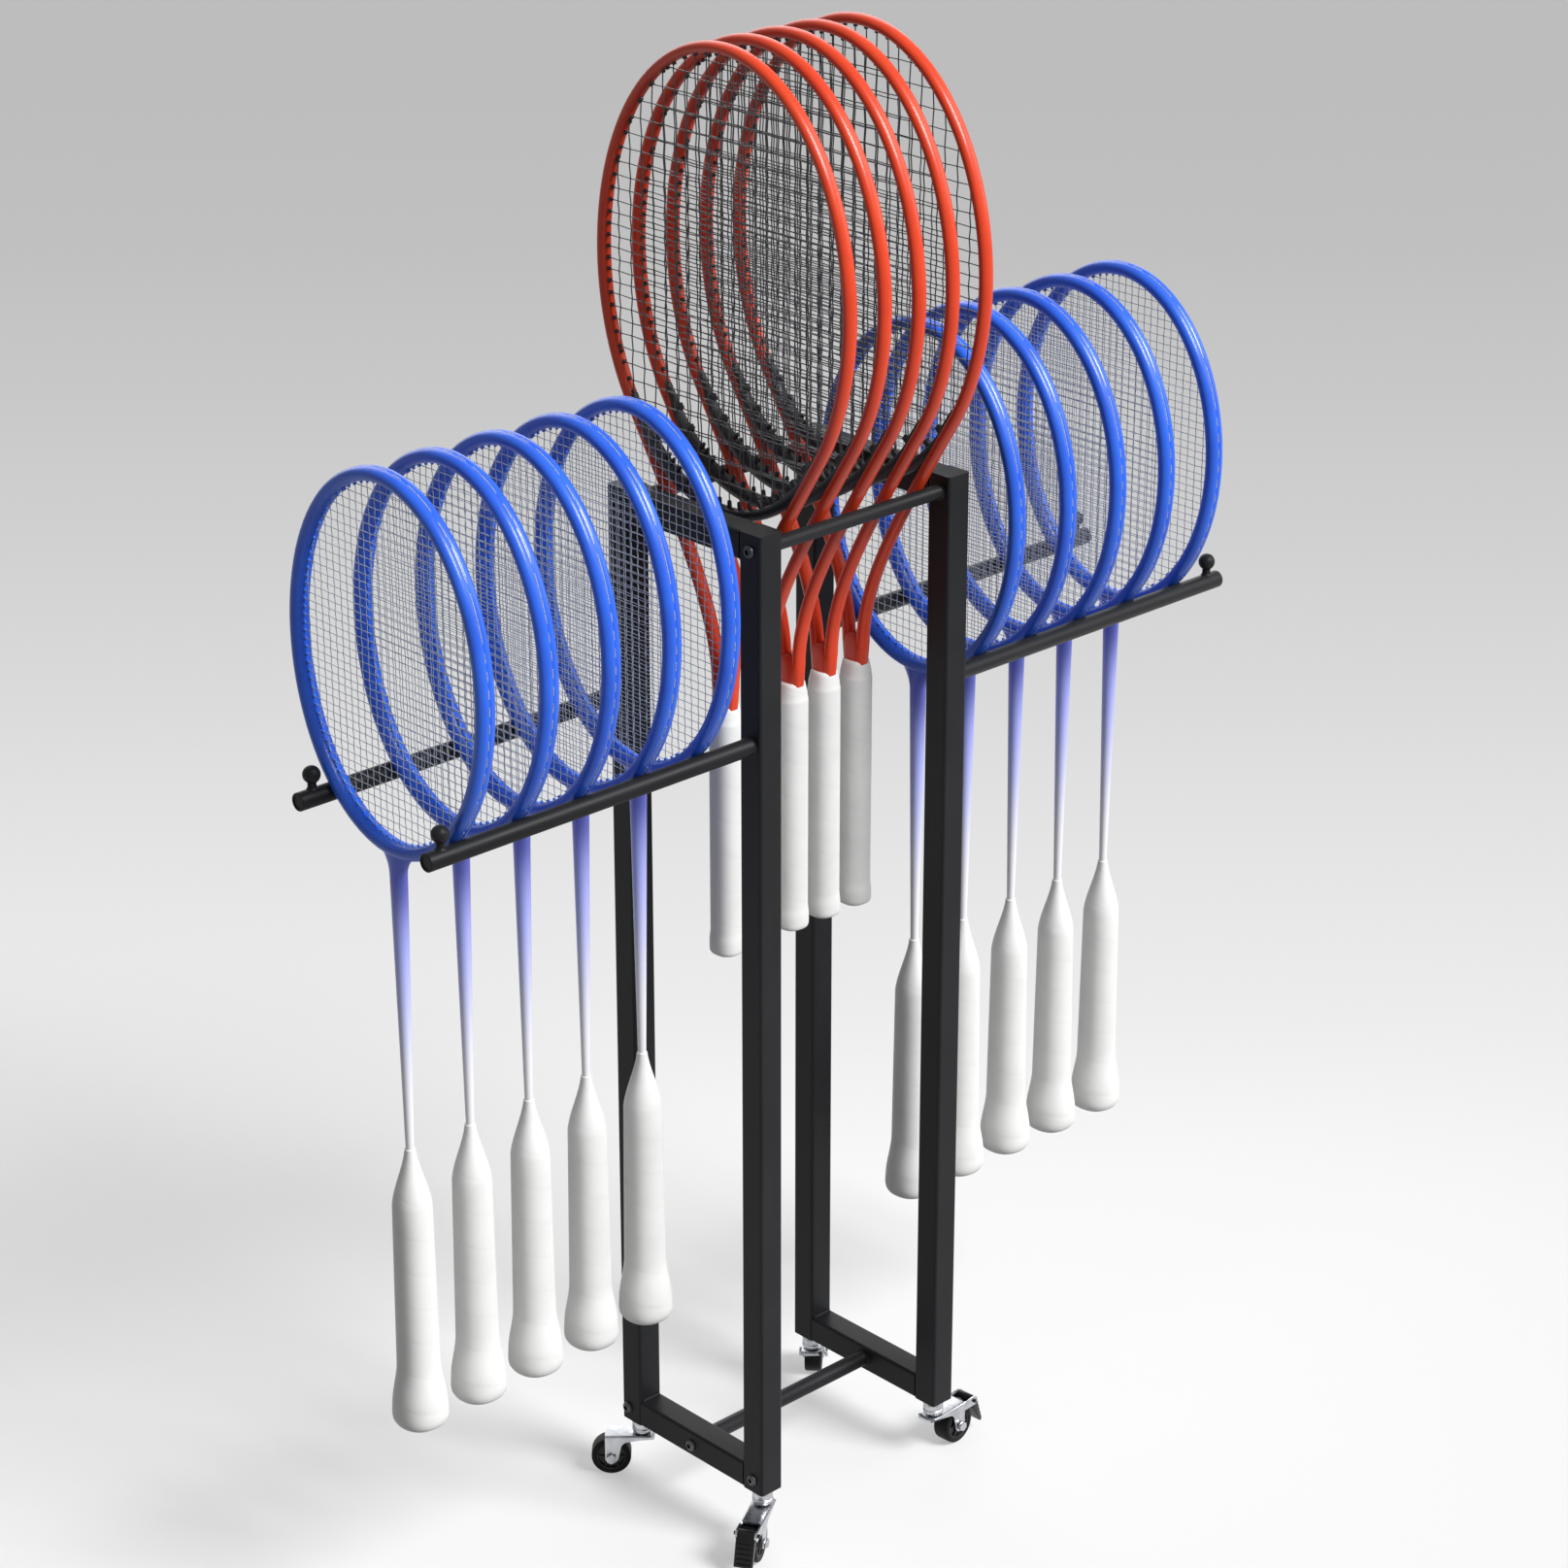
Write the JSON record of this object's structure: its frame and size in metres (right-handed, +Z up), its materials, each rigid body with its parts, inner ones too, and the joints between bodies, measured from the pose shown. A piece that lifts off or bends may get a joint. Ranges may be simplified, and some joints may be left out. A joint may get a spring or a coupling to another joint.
{
  "type": "racket display stand",
  "caption": "Free-standing racket display stand on swivel casters, with tennis rackets in a top slot and badminton rackets hung by their heads in side arms.",
  "frame": {"origin": "on the floor, under the middle of the stand", "axes": "+Z up, +X along the side arms to the right as seen from the front, +Y from the front of the stand to its back"},
  "size_m": [0.74, 0.242, 1.0729],
  "materials": {
    "powder_coat": "satin",
    "zinc_plate": "satin",
    "caster_tread": "matte",
    "pedal_plastic": "matte",
    "blue_lacquer": "gloss",
    "red_lacquer": "gloss",
    "white_grip": "matte"
  },
  "bodies": {
    "stand": {"left_top_rail": "powder_coat", "right_top_rail": "powder_coat", "left_bottom_rail": "powder_coat", "right_bottom_rail": "powder_coat", "left_front_post": "powder_coat", "left_back_post": "powder_coat", "right_front_post": "powder_coat", "right_back_post": "powder_coat", "front_top_bar": "powder_coat", "back_top_bar": "powder_coat", "bottom_crossbar": "powder_coat", "left_front_arm": "powder_coat", "left_back_arm": "powder_coat", "right_front_arm": "powder_coat", "right_back_arm": "powder_coat", "left_front_caster_stem": "zinc_plate", "left_back_caster_stem": "zinc_plate", "right_front_caster_stem": "zinc_plate", "right_back_caster_stem": "zinc_plate"},
    "left_front_fork": {"left_front_caster_fork": "zinc_plate"},
    "left_back_fork": {"left_back_caster_fork": "zinc_plate"},
    "right_front_fork": {"right_front_caster_fork": "zinc_plate"},
    "right_back_fork": {"right_back_caster_fork": "zinc_plate"},
    "left_front_wheel": {"left_front_caster_wheel": "caster_tread"},
    "left_back_wheel": {"left_back_caster_wheel": "caster_tread"},
    "right_front_wheel": {"right_front_caster_wheel": "caster_tread"},
    "right_back_wheel": {"right_back_caster_wheel": "caster_tread"},
    "left_front_pedal": {"left_front_brake_pedal": "pedal_plastic"},
    "right_front_pedal": {"right_front_brake_pedal": "pedal_plastic"},
    "left_badminton_1": {"left_racket_1": "blue_lacquer", "left_grip_1": "white_grip"},
    "left_badminton_2": {"left_racket_2": "blue_lacquer", "left_grip_2": "white_grip"},
    "left_badminton_3": {"left_racket_3": "blue_lacquer", "left_grip_3": "white_grip"},
    "left_badminton_4": {"left_racket_4": "blue_lacquer", "left_grip_4": "white_grip"},
    "left_badminton_5": {"left_racket_5": "blue_lacquer", "left_grip_5": "white_grip"},
    "right_badminton_1": {"right_racket_1": "blue_lacquer", "right_grip_1": "white_grip"},
    "right_badminton_2": {"right_racket_2": "blue_lacquer", "right_grip_2": "white_grip"},
    "right_badminton_3": {"right_racket_3": "blue_lacquer", "right_grip_3": "white_grip"},
    "right_badminton_4": {"right_racket_4": "blue_lacquer", "right_grip_4": "white_grip"},
    "right_badminton_5": {"right_racket_5": "blue_lacquer", "right_grip_5": "white_grip"},
    "tennis_1": {"top_racket_1": "red_lacquer", "top_grip_1": "white_grip"},
    "tennis_2": {"top_racket_2": "red_lacquer", "top_grip_2": "white_grip"},
    "tennis_3": {"top_racket_3": "red_lacquer", "top_grip_3": "white_grip"},
    "tennis_4": {"top_racket_4": "red_lacquer", "top_grip_4": "white_grip"},
    "tennis_5": {"top_racket_5": "red_lacquer", "top_grip_5": "white_grip"}
  },
  "joints": [
    {"name": "left_front_swivel", "type": "hinge", "parent": "stand", "child": "left_front_fork", "pos_m": [-0.087, -0.065, 0.033], "axis": [0, 0, 1], "continuous": true},
    {"name": "left_back_swivel", "type": "hinge", "parent": "stand", "child": "left_back_fork", "pos_m": [-0.087, 0.065, 0.033], "axis": [0, 0, 1], "continuous": true},
    {"name": "right_front_swivel", "type": "hinge", "parent": "stand", "child": "right_front_fork", "pos_m": [0.087, -0.065, 0.033], "axis": [0, 0, 1], "continuous": true},
    {"name": "right_back_swivel", "type": "hinge", "parent": "stand", "child": "right_back_fork", "pos_m": [0.087, 0.065, 0.033], "axis": [0, 0, 1], "continuous": true},
    {"name": "left_front_roll", "type": "hinge", "parent": "left_front_fork", "child": "left_front_wheel", "pos_m": [-0.10692, -0.0765, 0.01471], "axis": [0.5, -0.866, 0], "continuous": true},
    {"name": "left_back_roll", "type": "hinge", "parent": "left_back_fork", "child": "left_back_wheel", "pos_m": [-0.10382, 0.08069, 0.01471], "axis": [-0.682, -0.7314, 0], "continuous": true},
    {"name": "right_front_roll", "type": "hinge", "parent": "right_front_fork", "child": "right_front_wheel", "pos_m": [0.10994, -0.0634, 0.01471], "axis": [-0.0698, 0.9976, 0], "continuous": true},
    {"name": "right_back_roll", "type": "hinge", "parent": "right_back_fork", "child": "right_back_wheel", "pos_m": [0.10382, 0.08069, 0.01471], "axis": [-0.682, 0.7314, 0], "continuous": true},
    {"name": "left_front_brake", "type": "hinge", "parent": "left_front_fork", "child": "left_front_pedal", "pos_m": [-0.11991, -0.084, 0.0296], "axis": [0.5, -0.866, 0], "range_deg": [0, 12]},
    {"name": "right_front_brake", "type": "hinge", "parent": "right_front_fork", "child": "right_front_pedal", "pos_m": [0.12491, -0.06235, 0.0296], "axis": [-0.0698, 0.9976, 0], "range_deg": [0, 12]},
    {"name": "left_badminton_1_lift", "type": "slide", "parent": "stand", "child": "left_badminton_1", "axis": [0, 0, 1], "range_m": [0, 0.48]},
    {"name": "left_badminton_2_lift", "type": "slide", "parent": "stand", "child": "left_badminton_2", "axis": [0, 0, 1], "range_m": [0, 0.48]},
    {"name": "left_badminton_3_lift", "type": "slide", "parent": "stand", "child": "left_badminton_3", "axis": [0, 0, 1], "range_m": [0, 0.48]},
    {"name": "left_badminton_4_lift", "type": "slide", "parent": "stand", "child": "left_badminton_4", "axis": [0, 0, 1], "range_m": [0, 0.48]},
    {"name": "left_badminton_5_lift", "type": "slide", "parent": "stand", "child": "left_badminton_5", "axis": [0, 0, 1], "range_m": [0, 0.48]},
    {"name": "right_badminton_1_lift", "type": "slide", "parent": "stand", "child": "right_badminton_1", "axis": [0, 0, 1], "range_m": [0, 0.48]},
    {"name": "right_badminton_2_lift", "type": "slide", "parent": "stand", "child": "right_badminton_2", "axis": [0, 0, 1], "range_m": [0, 0.48]},
    {"name": "right_badminton_3_lift", "type": "slide", "parent": "stand", "child": "right_badminton_3", "axis": [0, 0, 1], "range_m": [0, 0.48]},
    {"name": "right_badminton_4_lift", "type": "slide", "parent": "stand", "child": "right_badminton_4", "axis": [0, 0, 1], "range_m": [0, 0.48]},
    {"name": "right_badminton_5_lift", "type": "slide", "parent": "stand", "child": "right_badminton_5", "axis": [0, 0, 1], "range_m": [0, 0.48]},
    {"name": "tennis_1_lift", "type": "slide", "parent": "stand", "child": "tennis_1", "axis": [0, 0, 1], "range_m": [0, 0.36]},
    {"name": "tennis_2_lift", "type": "slide", "parent": "stand", "child": "tennis_2", "axis": [0, 0, 1], "range_m": [0, 0.36]},
    {"name": "tennis_3_lift", "type": "slide", "parent": "stand", "child": "tennis_3", "axis": [0, 0, 1], "range_m": [0, 0.36]},
    {"name": "tennis_4_lift", "type": "slide", "parent": "stand", "child": "tennis_4", "axis": [0, 0, 1], "range_m": [0, 0.36]},
    {"name": "tennis_5_lift", "type": "slide", "parent": "stand", "child": "tennis_5", "axis": [0, 0, 1], "range_m": [0, 0.36]}
  ]
}
